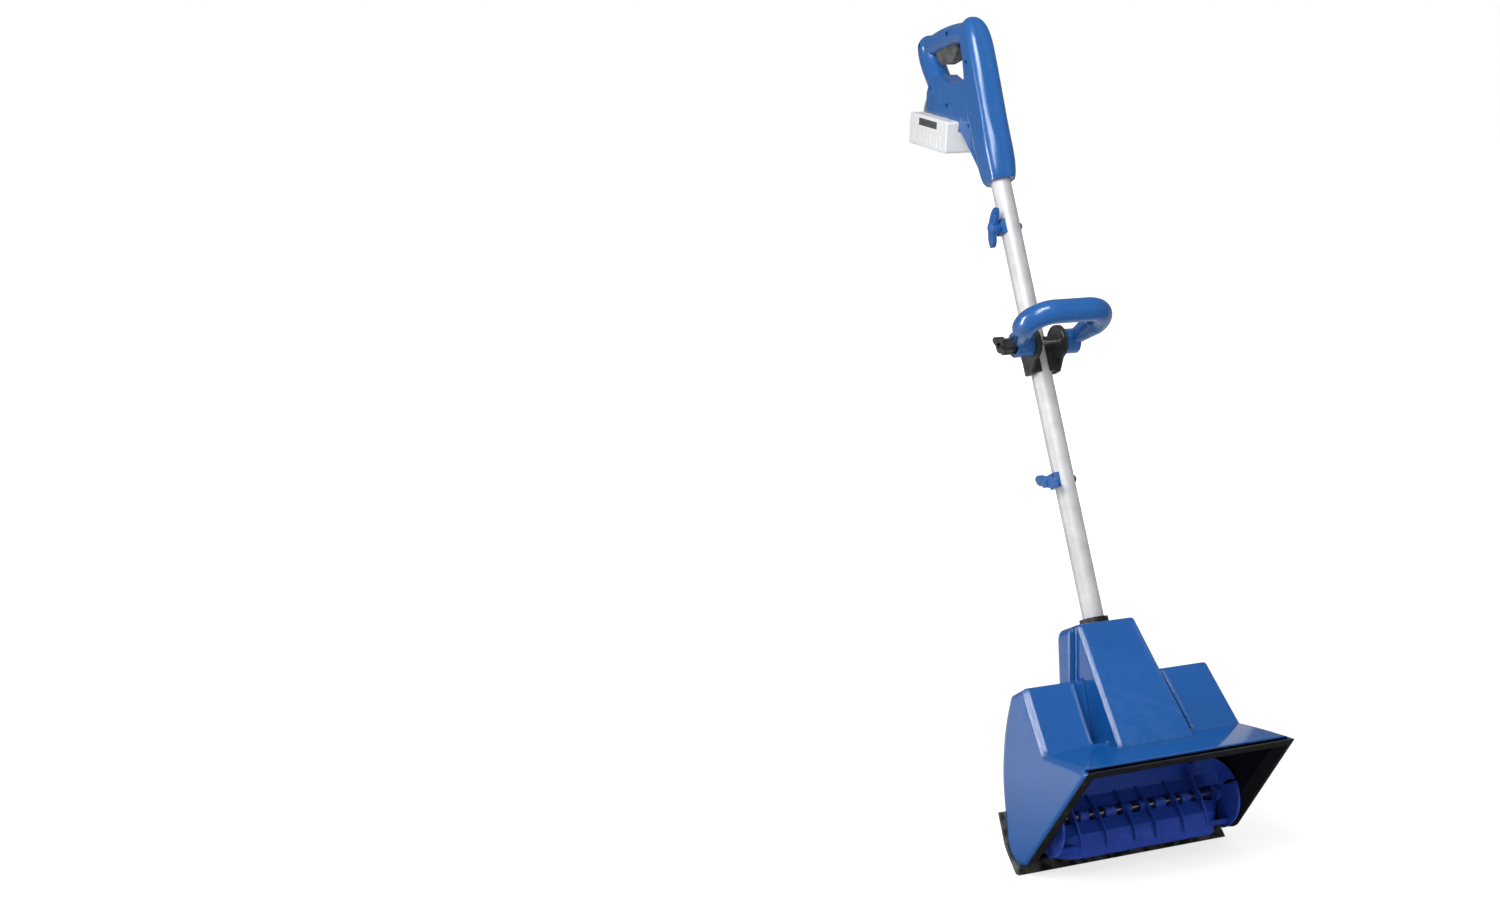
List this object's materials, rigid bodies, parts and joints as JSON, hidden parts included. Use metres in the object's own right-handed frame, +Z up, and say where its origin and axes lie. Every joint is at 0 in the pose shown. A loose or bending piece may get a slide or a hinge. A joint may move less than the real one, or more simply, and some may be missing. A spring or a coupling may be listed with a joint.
{
  "type": "cordless snow shovel",
  "caption": "Battery snow shovel: hooded rotor head with scraper on a leaning jointed pole, front loop handle, rear trigger grip and slide-on battery.",
  "frame": {"origin": "middle of the scraper's ground edge, on the ground", "axes": "+Z up, -Y the way the scoop faces, +X towards the operator's left when standing behind; the pole leans back towards +Y by 23 degrees, its working angle"},
  "size_m": [0.3192, 0.6914, 1.0902],
  "materials": {
    "shell_blue": "glossy moulded",
    "rotor_blue": "semi-gloss moulded",
    "liner_black": "fine texture",
    "scraper_black": "worn, fine texture",
    "tube_aluminium": "satin anodised",
    "steel": "zinc plated",
    "motor_steel": "rolled can",
    "bush_brass": "sintered",
    "belt_rubber": "matte",
    "cable_rubber": "matte",
    "pack_white": "satin moulded",
    "pack_grey": "satin moulded",
    "cell_sleeve": "shrink sleeve",
    "gauge_dark": "printed film",
    "board_green": "solder mask",
    "switch_black": "moulded"
  },
  "bodies": {
    "frame": {"hood_shell": "shell_blue", "scoop_liner": "liner_black", "scraper_blade": "scraper_black", "scraper_screws": "steel", "rotor_bush_left": "bush_brass", "rotor_bush_right": "bush_brass", "drive_belt": "belt_rubber", "motor": "motor_steel", "motor_bracket": "steel", "pole_socket": "liner_black", "lower_tube": "tube_aluminium", "middle_tube": "tube_aluminium", "upper_tube": "tube_aluminium", "lower_lock_bolt": "steel", "upper_lock_bolt": "steel", "lower_lock_saddle": "shell_blue", "upper_lock_saddle": "shell_blue", "handle_shell_left": "shell_blue", "handle_shell_right": "shell_blue", "handle_screws": "steel", "trigger_pin": "steel", "trigger_spring": "steel", "power_switch": "switch_black", "control_board": "board_green", "terminal_block": "switch_black", "power_cable": "cable_rubber"},
    "rotor_unit": {"rotor": "rotor_blue", "rotor_shaft": "steel", "rotor_pulley": "liner_black"},
    "motor_unit": {"motor_pulley": "steel", "motor_shaft": "steel"},
    "lower_knob": {"lower_lock_knob": "shell_blue"},
    "upper_knob": {"upper_lock_knob": "shell_blue"},
    "clamp": {"clamp_half_left": "liner_black", "clamp_half_right": "liner_black", "clamp_bolt": "steel"},
    "loop": {"assist_handle": "shell_blue"},
    "clamp_wing": {"clamp_knob": "liner_black"},
    "finger_trigger": {"trigger": "switch_black"},
    "safety_button": {"lock_button": "switch_black"},
    "battery": {"battery_lid": "pack_white", "battery_base": "pack_white", "battery_cells": "cell_sleeve", "battery_gauge": "gauge_dark"},
    "release": {"battery_latch": "pack_grey"}
  },
  "joints": [
    {"name": "rotor_spin", "type": "hinge", "parent": "frame", "child": "rotor_unit", "pos_m": [0, -0.02382, 0.07312], "axis": [1, 0, 0], "continuous": true},
    {"name": "motor_spin", "type": "hinge", "parent": "frame", "child": "motor_unit", "pos_m": [0, 0.00763, 0.14722], "axis": [1, 0, 0], "continuous": true},
    {"name": "lower_knob_turn", "type": "hinge", "parent": "frame", "child": "lower_knob", "pos_m": [0, 0.14614, 0.47354], "axis": [1, 0, 0], "continuous": true},
    {"name": "upper_knob_turn", "type": "hinge", "parent": "frame", "child": "upper_knob", "pos_m": [0, 0.28603, 0.80308], "axis": [1, 0, 0], "continuous": true},
    {"name": "clamp_slide", "type": "slide", "parent": "frame", "child": "clamp", "axis": [0, 0.3907, 0.9205], "range_m": [-0.1, 0.09]},
    {"name": "loop_tilt", "type": "hinge", "parent": "clamp", "child": "loop", "pos_m": [0, 0.19595, 0.65229], "axis": [1, 0, 0], "range_deg": [-60, 60]},
    {"name": "clamp_wing_turn", "type": "hinge", "parent": "clamp", "child": "clamp_wing", "pos_m": [0, 0.19595, 0.65229], "axis": [1, 0, 0], "continuous": true},
    {"name": "trigger_pull", "type": "hinge", "parent": "frame", "child": "finger_trigger", "pos_m": [0, 0.42972, 1.05713], "axis": [1, 0, 0], "range_deg": [0, 6], "stiffness_Nm_per_rad": 1.5, "springref_deg": -6.88},
    {"name": "safety_press", "type": "slide", "parent": "frame", "child": "safety_button", "axis": [-1, 0, 0], "range_m": [0, 0.003], "stiffness_N_per_m": 400, "springref_m": -0.003},
    {"name": "battery_slide", "type": "slide", "parent": "frame", "child": "battery", "axis": [0, 0.9902, 0.1398], "range_m": [0, 0.095]},
    {"name": "release_press", "type": "slide", "parent": "battery", "child": "release", "axis": [0, 0.1398, -0.9902], "range_m": [0, 0.003], "stiffness_N_per_m": 800, "springref_m": -0.002}
  ],
  "couplings": [
    {"joint": "motor_spin", "follows": "rotor_spin", "ratio": 2.9333}
  ]
}
